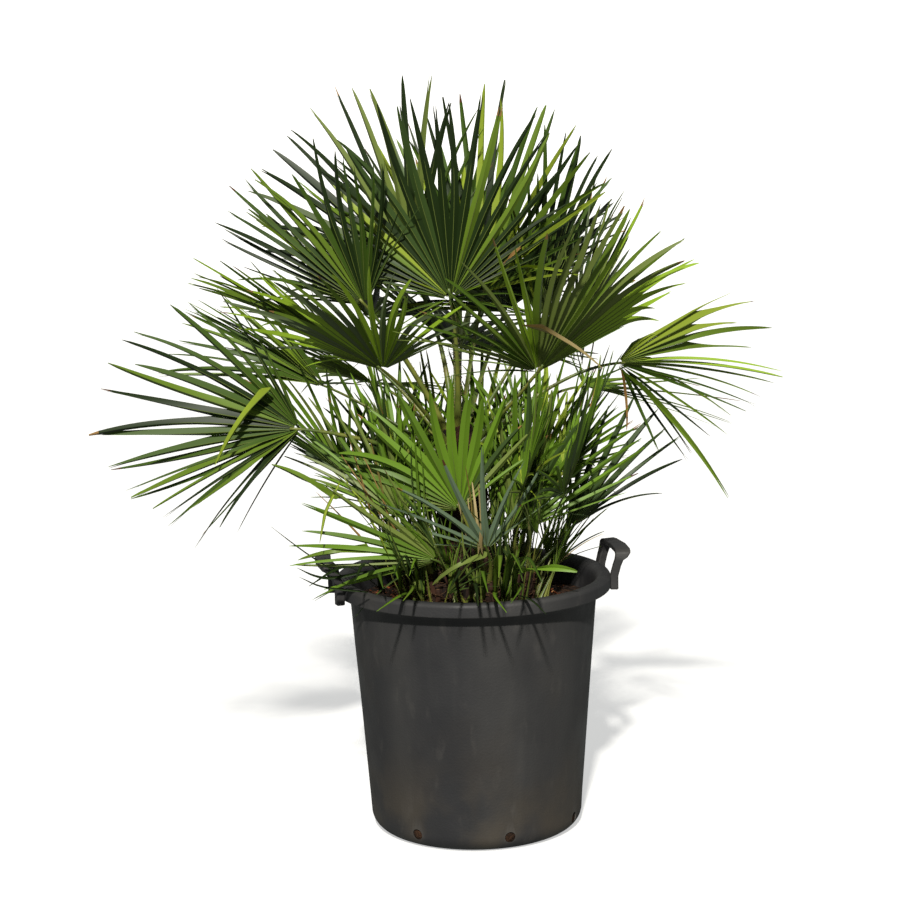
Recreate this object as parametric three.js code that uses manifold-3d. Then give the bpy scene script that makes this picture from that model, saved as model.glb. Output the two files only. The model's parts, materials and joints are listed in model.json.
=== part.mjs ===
// A European fan palm in a nursery pot: pot with rolled lip and two loop handles, compost, a short
// fibrous trunk with offset stems round it, and one solid for each fan-shaped frond.
// Millimetres, +Z up, origin at the centre of the pot's flat underside.

import * as THREE from 'three';
import { mergeVertices } from 'three/addons/utils/BufferGeometryUtils.js';
import Module from 'manifold-3d';

const wasm = await Module();
wasm.setup();

// Pot
const potWallTop = 252;        // outside radius of the wall just under the lip
const potWallBottom = 217;     // outside radius where the wall meets the rounded foot
const potFootRound = 35;       // radius of the rounded foot
const potLipUnder = 493;       // height of the lip's lower edge
const potHeight = 522;         // height of the lip's top
const potLipRadius = 280;      // outside radius of the lip
const potLipRound = 9;
const potWallThick = 5;
const potFloorThick = 6;
const potSides = 48;
const drainHeight = 27;
const drainRadius = 10;
const drainAngles = [-128, -73, -17, 47, 102, 158];

// Handles
const handleAngles = { handle_right: 10, handle_left: 190 };
const handleHalfSpan = 13.5;   // degrees of the lip, from the middle of the loop to its end
const handleFoot = 485;        // height of the bracket's lower edge
const handleSeat = potHeight - potLipRound;   // the posts stand upright against the lip up to here
const handleTop = 567;
const handleDeep = 17;         // radial depth of the posts
const handlePostWide = 17;
const handleGripThick = 13;
const handleFlare = 14;        // how far the grip stands out past the posts
const handleSlant = 12;        // how far the posts lean out on their way up

// Compost and stems
const soilTop = 470;
const seatGap = 0.35;
const trunkSides = 12;
const trunk = {
  foot: [-10, 4], crown: [-26, 0, 830], footRadius: 64, midRadius: 47, topRadius: 40,
};
const offsetStems = {
  stem_front_left: { foot: [-66, -88], crown: [-75, -95, 548], radius: 21, extra: [150] },
  stem_front: { foot: [26, -108], crown: [30, -120, 540], radius: 20, extra: [318, 10] },
  stem_right: { foot: [94, -52], crown: [105, -60, 546], radius: 22, extra: [312, 75] },
  stem_left: { foot: [-112, 14], crown: [-125, 15, 552], radius: 21, extra: [110, 180, 225] },
  stem_back_right: { foot: [86, 66], crown: [95, 75, 548], radius: 22, extra: [-25, 38, 100] },
  stem_back: { foot: [-26, 98], crown: [-30, 110, 544], radius: 21, extra: [50, 110, 170] },
};

// Fronds. lean is the straight line from the stem's crown to the hub of the fan: heading, lift and
// length. aim is the middle leaflet: heading, lift and the turn of the blade's face about it.
// Angles in degrees, headings anticlockwise from +X seen from above.
const crownFronds = [
  { name: 'front_top', lean: [265, 69, 280], aim: [227, 75, 37], reach: 420, spread: 80 },
  { name: 'left_top', lean: [132, 67, 307], aim: [175, 57, 74], reach: 428, spread: 70 },
  { name: 'left_upper', lean: [199, 53, 310], aim: [201, 47, 44], reach: 368, spread: 66 },
  { name: 'front_left', lean: [230, 31, 257], aim: [223, 32, 11], reach: 352, spread: 92 },
  { name: 'left_low', lean: [200, 2, 328], aim: [184, 4, 72], reach: 428, spread: 68 },
  { name: 'left_back_low', lean: [162, 14, 301], aim: [142, 10, 29], reach: 330, spread: 75 },
  { name: 'front_right', lean: [316, 29, 250], aim: [315, 47, -5], reach: 408, spread: 90 },
  { name: 'right_upper', lean: [20, 49, 270], aim: [28, 58, -53], reach: 405, spread: 66 },
  { name: 'right_low', lean: [6, 19, 345], aim: [353, 2, -49], reach: 350, spread: 50 },
  { name: 'back_top', lean: [55, 68, 275], aim: [38, 71, 11], reach: 418, spread: 80 },
  { name: 'right_mid', lean: [26, 32, 323], aim: [46, 34, -68], reach: 320, spread: 70 },
  { name: 'back_left_top', lean: [92, 52, 320], aim: [95, 50, 22], reach: 400, spread: 92 },
  { name: 'back_left_mid', lean: [138, 40, 310], aim: [140, 30, 22], reach: 380, spread: 92 },
  { name: 'back_right_mid', lean: [66, 38, 325], aim: [70, 30, -18], reach: 380, spread: 92 },
  { name: 'back_low', lean: [88, 20, 330], aim: [88, 6, 20], reach: 370, spread: 92 },
  { name: 'back_left_low', lean: [122, 8, 330], aim: [122, -4, 20], reach: 350, spread: 92 },
  { name: 'back_right_low', lean: [35, 8, 330], aim: [32, -6, 20], reach: 350, spread: 92 },
  { name: 'left_back_mid', lean: [155, 30, 320], aim: [155, 14, 20], reach: 350, spread: 92 },
];
const offsetFronds = [
  {
    name: 'offset_front_fan', stem: 'stem_front',
    lean: [216, 65, 158], aim: [211, 59, 49], reach: 290, spread: 82,
  },
  {
    name: 'offset_front_low', stem: 'stem_front',
    lean: [267, 45, 100], aim: [236, 47, 27], reach: 250, spread: 85,
  },
  {
    name: 'offset_right_fan', stem: 'stem_right',
    lean: [252, 53, 105], aim: [324, 58, -51], reach: 340, spread: 56,
  },
  {
    name: 'offset_right_low', stem: 'stem_right',
    lean: [17, 36, 121], aim: [344, 53, -57], reach: 318, spread: 38,
  },
  {
    name: 'offset_left_low', stem: 'stem_front_left',
    lean: [273, 25, 94], aim: [195, 17, 69], reach: 290, spread: 55,
  },
  {
    name: 'offset_left_fan', stem: 'stem_front_left',
    lean: [205, 58, 135], aim: [191, 59, 56], reach: 268, spread: 60,
  },
];
const crownBlade = { leaflets: 18, stalkWide: 14, join: 0.43 };
const offsetBlade = { leaflets: 14, stalkWide: 10, join: 0.32 };
const bladeShape = { cup: 8, fold: 12, sag: 0.06, shrink: 0.35, joinFall: 0.65 };
const offsetSeed = 33;

// How the fronds are kept apart: the least gap, and the sideways bows, length shares, leaflet bends
// and join shares that are tried in turn.
const clearance = 0.5;
const stalkBows = [0, 15, -15, 30, -30, 50, -50];
const lengthShares = [1, 0.84, 0.68];
const leafletBends = [0, 0.16, -0.16, 0.3, -0.3];
const joinShares = [1, 0.75, 0.5, 0.3, 0.15];
const leastJoin = 6;

const up = new THREE.Vector3(0, 0, 1);
const point = (x, y, z) => new THREE.Vector3(x, y, z);
const lerp = (a, b, t) => a + (b - a) * t;

// Repeatable random numbers from 0 to 1.
function makeRandom(seed) {
  let state = seed >>> 0;
  return () => {
    state = (state + 0x6d2b79f5) >>> 0;
    let t = state;
    t = Math.imul(t ^ (t >>> 15), t | 1);
    t ^= t + Math.imul(t ^ (t >>> 7), t | 61);
    return ((t ^ (t >>> 14)) >>> 0) / 4294967296;
  };
}

function direction(heading, lift) {
  const a = THREE.MathUtils.degToRad(heading);
  const e = THREE.MathUtils.degToRad(lift);
  return point(Math.cos(e) * Math.cos(a), Math.cos(e) * Math.sin(a), Math.sin(e));
}

// A closed solid from a three.js geometry whose triangles share corners by position only.
function solidFromGeometry(geometry) {
  geometry.deleteAttribute('normal');
  geometry.deleteAttribute('uv');
  const merged = mergeVertices(geometry, 1e-4);
  const corners = merged.index.array;
  const triVerts = [];
  for (let i = 0; i < corners.length; i += 3) {
    const [a, b, c] = [corners[i], corners[i + 1], corners[i + 2]];
    if (a !== b && b !== c && c !== a) {
      triVerts.push(a, b, c);
    }
  }
  return new wasm.Manifold(new wasm.Mesh({
    numProp: 3,
    vertProperties: new Float32Array(merged.attributes.position.array),
    triVerts: new Uint32Array(triVerts),
  }));
}

function solidFromLists(points, triangles) {
  return new wasm.Manifold(new wasm.Mesh({
    numProp: 3,
    vertProperties: new Float32Array(points.flatMap((p) => [p.x, p.y, p.z])),
    triVerts: new Uint32Array(triangles.flat()),
  }));
}

function geometryFromSolid(solid) {
  const mesh = solid.getMesh();
  const geometry = new THREE.BufferGeometry();
  geometry.setAttribute('position', new THREE.BufferAttribute(mesh.vertProperties, 3));
  geometry.setIndex(new THREE.BufferAttribute(mesh.triVerts, 1));
  const flat = geometry.toNonIndexed();
  flat.computeVertexNormals();
  return flat;
}

// A closed tube through rings of equal corner count, with flat fans over both ends. Each ring runs
// anticlockwise seen from the tube's far end.
function loft(rings) {
  const sides = rings[0].length;
  const points = rings.flat();
  const triangles = [];
  for (let r = 0; r < rings.length - 1; r += 1) {
    for (let s = 0; s < sides; s += 1) {
      const a = r * sides + s;
      const b = r * sides + ((s + 1) % sides);
      triangles.push([a, b, b + sides], [a, b + sides, a + sides]);
    }
  }
  const last = (rings.length - 1) * sides;
  for (let s = 1; s < sides - 1; s += 1) {
    triangles.push([0, s + 1, s], [last, last + s, last + s + 1]);
  }
  return solidFromLists(points, triangles);
}

function turnedSolid(profile, sides) {
  const lathe = new THREE.LatheGeometry(profile.map(([r, z]) => new THREE.Vector2(r, z)), sides);
  lathe.rotateX(Math.PI / 2);
  return solidFromGeometry(lathe);
}

function arcPoints(centreR, centreZ, radius, fromDegrees, toDegrees, steps) {
  return Array.from({ length: steps + 1 }, (_, i) => {
    const a = THREE.MathUtils.degToRad(lerp(fromDegrees, toDegrees, i / steps));
    return [centreR + radius * Math.cos(a), centreZ + radius * Math.sin(a)];
  });
}

function wallRadius(z) {
  return lerp(potWallBottom, potWallTop, (z - potFootRound) / (potLipUnder - potFootRound));
}

// The inside of the pot from its straight wall down to the floor, drawn in by a gap for the compost.
function innerFoot(gap) {
  const round = potFootRound - potWallThick;
  return [
    [wallRadius(potFootRound) - potWallThick - gap, potFootRound + gap],
    ...arcPoints(potWallBottom - potFootRound, potFloorThick + round, round - gap, -20, -90, 3),
    [0, potFloorThick + gap],
  ];
}

function makePot() {
  const lipTop = potHeight - potLipRound;
  const outside = [
    [0, 0],
    ...arcPoints(potWallBottom - potFootRound, potFootRound, potFootRound, -90, 0, 4),
    [potWallTop, potLipUnder],
    [potLipRadius - 3, potLipUnder],
    [potLipRadius, potLipUnder + 4],
    ...arcPoints(potLipRadius - potLipRound, lipTop, potLipRound, 0, 90, 3),
  ];
  const inside = [
    [potWallTop + 4, potHeight],
    [wallRadius(potLipUnder) - potWallThick, potLipUnder],
    ...innerFoot(0),
  ];
  let pot = turnedSolid([...outside, ...inside], potSides);
  for (const angle of drainAngles) {
    const drill = new THREE.CylinderGeometry(drainRadius, drainRadius, 60, 12);
    drill.rotateZ(Math.PI / 2);
    drill.translate(wallRadius(drainHeight) - 8, 0, drainHeight);
    drill.rotateZ(THREE.MathUtils.degToRad(angle));
    pot = pot.subtract(solidFromGeometry(drill));
  }
  return pot;
}

function makeSoil() {
  const rim = [wallRadius(soilTop) - potWallThick - seatGap, soilTop];
  return turnedSolid([...innerFoot(seatGap).reverse(), rim, [0, soilTop]], potSides);
}

// One loop handle: two posts that lean out above the lip and a flat grip across them, all following
// the lip. Each station has a place along it for its lower left and lower right edges, their
// heights, how far it leans out, and its depth.
function makeHandle(angle) {
  const inner = potLipRadius + seatGap * 2;
  const half = THREE.MathUtils.degToRad(handleHalfSpan) * inner;
  const innerEdge = -half + handlePostWide;
  const gripUnder = handleTop - handleGripThick;
  const gripDeep = handleDeep + handleFlare;
  const stations = [
    { at: [-half, innerEdge], z: [handleFoot, handleFoot], lean: 0, deep: handleDeep },
    { at: [-half, innerEdge], z: [handleSeat, handleSeat], lean: 0, deep: handleDeep },
    { at: [-half - 1, innerEdge], z: [gripUnder - 12, gripUnder - 12], lean: 0.8, deep: handleDeep },
    { at: [-half - 1, innerEdge + 3], z: [handleTop - 7, gripUnder], lean: 1, deep: gripDeep },
    { at: [-half + 12, innerEdge + 12], z: [handleTop, gripUnder + 1], lean: 1, deep: gripDeep },
    { at: [0, 0], z: [handleTop, gripUnder + 2], lean: 1, deep: gripDeep },
  ];
  const ring = ({ at, z, lean, deep }, side) => {
    const place = (along, height, radius) => {
      const a = THREE.MathUtils.degToRad(angle) + (side * along) / inner;
      return point(radius * Math.cos(a), radius * Math.sin(a), height);
    };
    const near = inner + lean * handleSlant;
    return [
      place(at[0], z[0], near),
      place(at[0], z[0], near + deep),
      place(at[1], z[1], near + deep),
      place(at[1], z[1], near),
    ];
  };
  const mirrored = stations.slice(0, -1).reverse();
  return loft([...stations.map((n) => ring(n, 1)), ...mirrored.map((n) => ring(n, -1))]);
}

// A stem through rings, each a share of the way from foot to crown and a radius there.
function makeStem({ foot, crown }, rings, sides) {
  return loft(rings.map(([share, radius]) => Array.from({ length: sides }, (_, i) => {
    const a = (i / sides) * Math.PI * 2;
    return point(
      lerp(foot[0], crown[0], share) + radius * Math.cos(a),
      lerp(foot[1], crown[1], share) + radius * Math.sin(a),
      lerp(soilTop + seatGap, crown[2], share),
    );
  })));
}

function trunkRings({ footRadius, midRadius, topRadius }) {
  return [
    [0, footRadius], [0.08, footRadius * 0.87], [0.3, midRadius], [0.62, midRadius * 0.96],
    [0.85, topRadius], [0.95, topRadius * 0.75], [1, topRadius * 0.4],
  ];
}

function offsetRings({ radius }) {
  return [[0, radius * 1.15], [0.35, radius], [0.75, radius * 0.9], [1, radius * 0.5]];
}

// The three directions of a blade: along its middle leaflet, across the fan, and out of its face.
function bladeAxes({ aim }) {
  const [heading, lift, turn] = aim;
  const along = direction(heading, lift);
  const face = up.clone().addScaledVector(along, -up.dot(along)).normalize();
  face.applyAxisAngle(along, THREE.MathUtils.degToRad(turn));
  return { along, face, across: along.clone().cross(face) };
}

// A point of the blade: angle from the middle leaflet, distance from the hub, and small shifts
// across the leaflet and out of the face.
function bladePoint(frond, angle, distance, aside, out) {
  const { along, face, across } = frond.axes;
  const half = THREE.MathUtils.degToRad(frond.spread);
  const q = Math.abs(angle) / half;
  const rise = THREE.MathUtils.degToRad(bladeShape.cup + bladeShape.fold * q * q);
  const ray = along.clone().multiplyScalar(Math.cos(angle)).addScaledVector(across, Math.sin(angle));
  const side = along.clone().multiplyScalar(-Math.sin(angle)).addScaledVector(across, Math.cos(angle));
  const path = ray.multiplyScalar(Math.cos(rise)).addScaledVector(face, Math.sin(rise));
  const level = Math.sqrt(Math.max(0, 1 - path.z * path.z));
  const drop = bladeShape.sag * frond.reach * (distance / frond.reach) ** 2.2 * level;
  return frond.hub.clone().addScaledVector(path, distance).addScaledVector(side, aside)
    .addScaledVector(face, out).addScaledVector(up, -drop);
}

// Leaflet angles and lengths, and the distance to which each is joined to its neighbours.
function leafletPlan(frond, seed) {
  const random = makeRandom(seed);
  const half = THREE.MathUtils.degToRad(frond.spread);
  const step = (2 * half) / frond.leaflets;
  const edges = Array.from({ length: frond.leaflets + 1 }, (_, i) => {
    const angle = -half + step * i;
    const fall = bladeShape.joinFall * (angle / half) ** 2;
    return { angle, join: frond.reach * frond.join * (1 - fall) };
  });
  const blades = Array.from({ length: frond.leaflets }, (_, i) => {
    const angle = -half + step * (i + 0.5);
    const shrink = bladeShape.shrink * (Math.abs(angle) / half) ** 2.5;
    return { angle, length: frond.reach * (1 - shrink) * (0.94 + 0.08 * random()), bend: 0 };
  });
  return { edges, blades, step };
}

// A closed fan solid made of the leaflets from first to last. A leaflet of no length ends at the join.
function fanSolid(frond, plan, first, last) {
  const thick = frond.reach / 100;
  const points = [];
  const triangles = [];
  const pair = (angle, distance, aside, out) => {
    points.push(bladePoint(frond, angle, distance, aside, out + thick / 2));
    points.push(bladePoint(frond, angle, distance, aside, out - thick / 2));
    return points.length - 2;
  };
  const face = (a, b, c) => triangles.push([a, c, b], [a + 1, b + 1, c + 1]);
  const wall = (a, b) => triangles.push([a, b + 1, a + 1], [a, b, b + 1]);
  const hub = pair(0, 0, 0, 0);
  const edge = plan.edges.slice(first, last + 2).map((e) => pair(e.angle, e.join, 0, 0));
  wall(hub, edge[0]);
  for (let k = first; k <= last; k += 1) {
    const { angle, length, bend } = plan.blades[k];
    const [left, right] = [edge[k - first], edge[k - first + 1]];
    face(hub, left, right);
    if (length > 0) {
      const join = (plan.edges[k].join + plan.edges[k + 1].join) / 2;
      const middle = (join + length) / 2;
      const wide = join * Math.tan(plan.step / 2) * 0.78;
      const rise = Math.tan(bend);
      const tip = pair(angle, length, 0, rise * (length - join));
      const midLeft = pair(angle, middle, -wide, rise * (middle - join));
      const midRight = pair(angle, middle, wide, rise * (middle - join));
      face(left, midLeft, right);
      face(right, midLeft, midRight);
      face(midLeft, tip, midRight);
      wall(left, midLeft);
      wall(midLeft, tip);
      wall(tip, midRight);
      wall(midRight, right);
    } else {
      wall(left, right);
    }
  }
  wall(edge[edge.length - 1], hub);
  return solidFromLists(points, triangles);
}

// The stalk: a three-sided taper from inside its stem to just past the hub.
function stalkSolid(frond, from, bow) {
  const { along, across } = frond.axes;
  const chord = from.distanceTo(frond.hub);
  const bend = frond.hub.clone().addScaledVector(along, -0.35 * chord).addScaledVector(across, bow);
  const end = frond.hub.clone().addScaledVector(along, frond.reach * 0.05);
  const curve = new THREE.QuadraticBezierCurve3(from, bend, end);
  const steps = 5;
  return loft(Array.from({ length: steps + 1 }, (_, i) => {
    const centre = curve.getPoint(i / steps);
    const ahead = curve.getTangent(i / steps);
    const level = across.clone().addScaledVector(ahead, -across.dot(ahead)).normalize();
    const top = level.clone().cross(ahead);
    const wide = lerp(frond.stalkWide, frond.stalkWide * 0.5, i / steps);
    return [
      centre.clone().addScaledVector(level, -wide / 2).addScaledVector(top, wide * 0.25),
      centre.clone().addScaledVector(level, wide / 2).addScaledVector(top, wide * 0.25),
      centre.clone().addScaledVector(top, -wide * 0.4),
    ];
  }));
}

// Solids in place so far, each with the name of the part it belongs to.
const placed = [];

function keep(owner, solid) {
  placed.push({ owner, solid, box: solid.boundingBox() });
  return solid;
}

// True if a solid is clear of everything in place that isn't its owner's.
function isClear(solid, owner) {
  const { min, max } = solid.boundingBox();
  return placed.every((other) => {
    if (other.owner === owner) {
      return true;
    }
    const { box } = other;
    const isFar = [0, 1, 2].some((i) => (
      min[i] - clearance > box.max[i] || max[i] + clearance < box.min[i]
    ));
    return isFar || solid.minGap(other.solid, clearance * 2) >= clearance;
  });
}

// The other fronds of the offset stems, one for each heading in the stem's list.
function offsetFrondsByRule() {
  const random = makeRandom(offsetSeed);
  return Object.entries(offsetStems).flatMap(([stem, { extra }]) => extra.map((heading, i) => {
    const lift = 50 + 22 * random();
    return {
      name: `${stem.replace('stem', 'offset')}_${i + 1}`,
      stem,
      lean: [heading, lift, 130 + 90 * random()],
      aim: [heading + 24 * (random() - 0.5), lift + 8 - 12 * random(), 15 + 25 * random()],
      reach: 240 + 60 * random(),
      spread: 72 + 12 * random(),
    };
  }));
}

// Gives a frond its hub, its directions and a stalk that starts inside its stem, cut back from the
// stem's surface and bowed sideways where it would meet something.
function placeStalk(frond, grownStem) {
  const isTrunk = frond.stem === 'trunk';
  const { crown } = isTrunk ? trunk : offsetStems[frond.stem];
  const [heading, lift, length] = frond.lean;
  frond.hub = point(...crown).addScaledVector(direction(heading, lift), length);
  frond.axes = bladeAxes(frond);
  const from = point(...crown).addScaledVector(direction(heading, 0), isTrunk ? 12 : 5);
  from.z -= (isTrunk ? 95 : 30) * (1 - lift / 90);
  for (const bow of stalkBows) {
    frond.stalk = stalkSolid(frond, from, bow).subtract(grownStem);
    if (isClear(frond.stalk, frond.stem)) {
      break;
    }
  }
  keep(frond.name, frond.stalk);
}

// Finds each leaflet a length and a bend that keep it clear of everything in place. Where none does,
// the join behind it is drawn in towards the hub. Passes repeat, as leaflets share their joins.
function settleLeaflets(frond, plan) {
  const full = plan.blades.map((blade) => blade.length);
  const trials = lengthShares.flatMap((share) => leafletBends.map((bend) => ({ share, bend })));
  trials.push({ share: 0, bend: 0 });
  const isSettled = (k) => isClear(fanSolid(frond, plan, k, k), frond.name);
  const settle = (k) => {
    const blade = plan.blades[k];
    const edges = [plan.edges[k], plan.edges[k + 1]];
    const joins = edges.map((edge) => edge.join);
    for (const joinShare of joinShares) {
      edges.forEach((edge, side) => {
        edge.join = Math.max(leastJoin, joins[side] * joinShare);
      });
      for (const { share, bend } of trials) {
        blade.length = full[k] * share;
        blade.bend = bend;
        if (isSettled(k)) {
          return;
        }
      }
    }
  };
  for (let pass = 0; pass < 4; pass += 1) {
    plan.blades.map((_, k) => k).filter((k) => !isSettled(k)).forEach(settle);
  }
}

const colours = { plastic: 0x3a3a3c, compost: 0x2a1d15, bark: 0x4f3a26, leaf: 0x3f6a24 };
const palm = new THREE.Group();

function addPart(name, solid, color, roughness) {
  const material = new THREE.MeshStandardMaterial({ color, roughness, metalness: 0 });
  const mesh = new THREE.Mesh(geometryFromSolid(solid), material);
  mesh.name = name;
  palm.add(mesh);
}

addPart('pot', keep('pot', makePot()), colours.plastic, 0.6);
for (const [name, angle] of Object.entries(handleAngles)) {
  addPart(name, keep(name, makeHandle(angle)), colours.plastic, 0.6);
}
addPart('soil', keep('soil', makeSoil()), colours.compost, 0.95);

// Each stem, and a copy grown by the seating gap that the stalks are cut back from.
const grownStems = {};

function addStem(name, { foot, crown }, rings, sides) {
  const grownRings = rings.map(([share, radius]) => [share, radius + seatGap]);
  const grownCrown = [crown[0], crown[1], crown[2] + seatGap * 1.5];
  grownStems[name] = makeStem({ foot, crown: grownCrown }, grownRings, sides);
  addPart(name, keep(name, makeStem({ foot, crown }, rings, sides)), colours.bark, 0.9);
}

addStem('trunk', trunk, trunkRings(trunk), trunkSides);
for (const [name, stem] of Object.entries(offsetStems)) {
  addStem(name, stem, offsetRings(stem), 8);
}

const fronds = [
  ...crownFronds.map((frond) => ({ ...frond, ...crownBlade, stem: 'trunk' })),
  ...[...offsetFronds, ...offsetFrondsByRule()].map((frond) => ({ ...frond, ...offsetBlade })),
];
for (const frond of fronds) {
  placeStalk(frond, grownStems[frond.stem]);
}
fronds.forEach((frond, index) => {
  const plan = leafletPlan(frond, index + 1);
  settleLeaflets(frond, plan);
  const blade = fanSolid(frond, plan, 0, frond.leaflets - 1);
  addPart(`frond_${frond.name}`, keep(frond.name, frond.stalk.add(blade)), colours.leaf, 0.5);
});

export default palm;
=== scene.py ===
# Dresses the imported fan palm: fine fronds, fibrous stems, bark compost and a moulded nursery pot.
import json
from math import asin, atan, atan2, cos, degrees, pi, radians, sin, sqrt, tan

import bmesh
import bpy
import numpy as np
from mathutils import Euler, Matrix, Vector, noise

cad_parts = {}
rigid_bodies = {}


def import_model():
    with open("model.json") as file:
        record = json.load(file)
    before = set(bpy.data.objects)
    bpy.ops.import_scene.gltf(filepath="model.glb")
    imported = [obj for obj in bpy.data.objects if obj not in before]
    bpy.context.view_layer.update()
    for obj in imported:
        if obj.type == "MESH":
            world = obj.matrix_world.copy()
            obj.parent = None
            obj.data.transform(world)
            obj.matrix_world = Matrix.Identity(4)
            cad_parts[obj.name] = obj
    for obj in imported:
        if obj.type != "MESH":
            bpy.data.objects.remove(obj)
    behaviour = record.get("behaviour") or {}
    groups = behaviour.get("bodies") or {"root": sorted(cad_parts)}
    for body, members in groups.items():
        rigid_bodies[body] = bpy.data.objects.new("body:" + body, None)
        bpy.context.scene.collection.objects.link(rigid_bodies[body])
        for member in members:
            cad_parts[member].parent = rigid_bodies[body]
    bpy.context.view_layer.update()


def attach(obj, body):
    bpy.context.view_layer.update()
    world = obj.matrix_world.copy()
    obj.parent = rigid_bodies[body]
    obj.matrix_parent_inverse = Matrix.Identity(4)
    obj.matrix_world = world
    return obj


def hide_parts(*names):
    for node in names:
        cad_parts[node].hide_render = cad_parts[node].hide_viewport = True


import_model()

mm = 0.001
fullTurn = 2 * pi
upward = np.array([0.0, 0.0, 1.0])
# Each kind of thing draws its own run of numbers, so a change to one leaves the others alone. The
# offsets' seed is the one of the part's source.
seeds = {"chips": 811, "trunk": 5, "stems": 20, "offsets": 33, "young": 77, "stalks": 404, "fans": 1000}


# Small helpers

def tone(red, green, blue):
    channels = []
    for value in (red, green, blue):
        share = value / 255
        channels.append(share / 12.92 if share <= 0.04045 else ((share + 0.055) / 1.055) ** 2.4)
    return (*channels, 1.0)


def makeRandom(seed):
    # Repeatable numbers between two limits, the same as the ones that the part's source draws.
    state, word = seed, 0xFFFFFFFF

    def draw(low=0, high=1):
        nonlocal state
        state = t = (state + 0x6D2B79F5) & word
        t = ((t ^ (t >> 15)) * (t | 1)) & word
        t ^= (t + (((t ^ (t >> 7)) * (t | 61)) & word)) & word
        return low + (high - low) * ((t ^ (t >> 14)) & word) / (word + 1)

    return draw


def lerp(a, b, t):
    return a + (b - a) * t


def unit(v):
    length = np.linalg.norm(v, axis=-1, keepdims=True)
    return v / np.maximum(length, 1e-9)


def direction(heading, lift):
    a, e = radians(heading), radians(lift)
    return np.array([cos(e) * cos(a), cos(e) * sin(a), sin(e)])


def around(radius, angle, z=0.0):
    return radius * cos(angle), radius * sin(angle), z


def turnSteps(count):
    return [fullTurn * k / count for k in range(count)]


class MeshLists:
    # Points and faces of one piece, gathered grid by grid.
    def __init__(self):
        self.points = []
        self.faces = []
        self.slots = []
        self.count = 0

    def addGrid(self, grid, slots, closed=False, flipped=False):
        rows, columns = grid.shape[:2]
        start = self.count
        self.points.append(grid.reshape(-1, 3))
        self.count += rows * columns
        for r in range(rows - 1):
            slot = slots if isinstance(slots, int) else slots[r]
            for c in range(columns if closed else columns - 1):
                a = start + r * columns + c
                b = start + r * columns + (c + 1) % columns
                face = (a, b, b + columns, a + columns)
                self.faces.append(face[::-1] if flipped else face)
                self.slots.append(slot)
        return start

    def addTube(self, grid, slot, flipped=False, endSlot=None):
        # A grid that closes round, with a cap at both ends.
        rows, columns = grid.shape[:2]
        start = self.addGrid(grid, slot, closed=True, flipped=flipped)
        for first, isTurned in ((start, not flipped), (start + (rows - 1) * columns, flipped)):
            face = tuple(range(first, first + columns))
            self.faces.append(face[::-1] if isTurned else face)
        self.slots += [slot, slot if endSlot is None else endSlot]


def makeMesh(name, lists, materials, smooth=True):
    mesh = bpy.data.meshes.new(name)
    mesh.from_pydata(np.concatenate(lists.points).tolist(), [], lists.faces)
    for material in materials:
        mesh.materials.append(material)
    mesh.polygons.foreach_set("material_index", lists.slots)
    mesh.polygons.foreach_set("use_smooth", [smooth] * len(lists.faces))
    mesh.validate()
    mesh.update()
    return mesh


def addObject(name, data):
    added = bpy.data.objects.new(name, data)
    bpy.context.scene.collection.objects.link(added)
    return added


def dress(piece, nodes):
    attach(piece, "root")
    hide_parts(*nodes)


def makePiece(name, lists, materials, nodes, smooth=True):
    piece = addObject(name, makeMesh(name, lists, materials, smooth))
    dress(piece, nodes)
    return piece


# Materials

def newMaterial(name, **settings):
    material = bpy.data.materials.new(name)
    material.use_nodes = True
    shader = material.node_tree.nodes["Principled BSDF"]
    for socket, value in settings.items():
        shader.inputs[socket.replace("_", " ")].default_value = value
    return material


def addNode(tree, kind, inputs, **settings):
    node = tree.nodes.new(f"ShaderNode{kind}")
    for key, value in settings.items():
        setattr(node, key, value)
    for key, value in inputs.items():
        if isinstance(value, bpy.types.NodeSocket):
            tree.links.new(value, node.inputs[key])
        else:
            node.inputs[key].default_value = value
    return node


def makeMaskGroup(name, addValue, fromMin, fromMax, inputs):
    # A mask that rises softly from the one input to the other by the value that addValue brings.
    tree = bpy.data.node_groups.new(name, "ShaderNodeTree")
    for label, value in inputs.items():
        kind = "NodeSocketVector" if isinstance(value, tuple) else "NodeSocketFloat"
        tree.interface.new_socket(label, in_out="INPUT", socket_type=kind).default_value = value
    tree.interface.new_socket("Mask", in_out="OUTPUT", socket_type="NodeSocketFloat")
    given = tree.nodes.new("NodeGroupInput").outputs
    mask = addNode(tree, "MapRange", {
        "Value": addValue(tree, given), "From Min": given[fromMin], "From Max": given[fromMax],
    }, interpolation_type="SMOOTHSTEP")
    tree.links.new(mask.outputs[0], tree.nodes.new("NodeGroupOutput").inputs["Mask"])
    return tree


def addPatchValue(tree, given):
    # Noise that is wider or longer along Z as Stretch says.
    place = addNode(tree, "TexCoord", {}).outputs["Object"]
    stretched = addNode(tree, "VectorMath", {0: place, 1: given["Stretch"]}, operation="MULTIPLY")
    return addNode(tree, "TexNoise", {
        "Vector": stretched.outputs[0], "Scale": given["Scale"], "Detail": given["Detail"],
    }).outputs["Fac"]


def addHeightValue(tree, given):
    place = addNode(tree, "TexCoord", {}).outputs["Object"]
    return addNode(tree, "SeparateXYZ", {"Vector": place}).outputs["Z"]


def addEdgeValue(tree, given):
    # The rounded edges that stand proud.
    return addNode(tree, "NewGeometry", {}).outputs["Pointiness"]


patchMask = makeMaskGroup("patchMask", addPatchValue, "Low", "High", {
    "Scale": 10.0, "Detail": 5.0, "Stretch": (1.0, 1.0, 1.0), "Low": 0.4, "High": 0.6,
})
heightMask = makeMaskGroup("heightMask", addHeightValue, "To", "From", {"From": 0.0, "To": 1.0})
edgeWear = makeMaskGroup("edgeWear", addEdgeValue, "Low", "High", {"Low": 0.51, "High": 0.56})


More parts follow.
